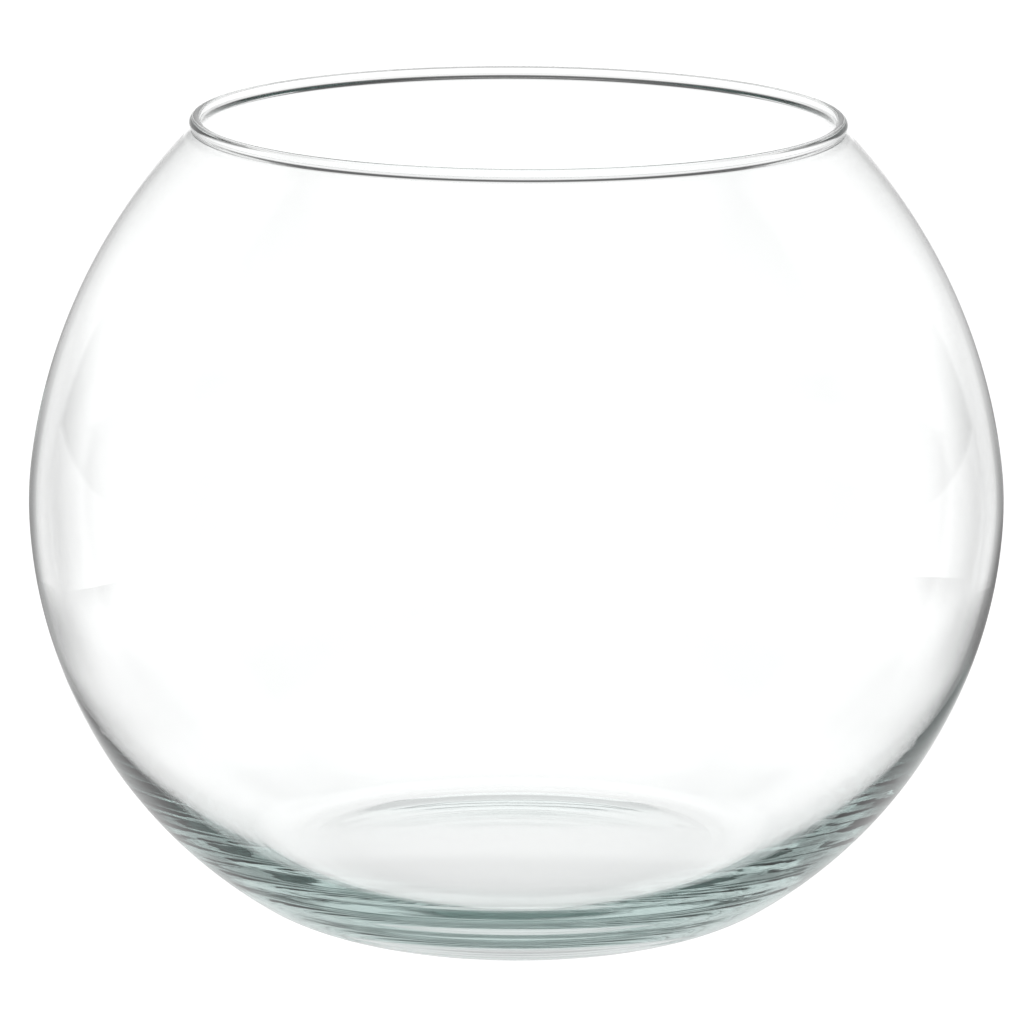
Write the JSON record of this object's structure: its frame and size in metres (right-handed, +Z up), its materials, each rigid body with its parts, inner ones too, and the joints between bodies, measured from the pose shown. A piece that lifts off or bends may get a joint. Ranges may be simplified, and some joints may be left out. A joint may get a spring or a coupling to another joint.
{
  "type": "rose bowl vase",
  "caption": "Round clear glass vase, wider than it is tall, open at the top with a rounded rim bead, on a thick base with a hollowed underside, for cut flowers or floating blooms.",
  "frame": {"origin": "middle of the plane that the foot ring stands on", "axes": "+Z up along the bowl's axis, from the foot to the mouth; the bowl is round, so +X and +Y may face any way"},
  "size_m": [0.1999, 0.2, 0.1632],
  "materials": {
    "clear_glass": "clear soda-lime glass, faintly green in its thick base, fire-polished and glossy all over"
  },
  "bodies": {
    "root": {"glass_bowl": "clear_glass"}
  },
  "joints": []
}
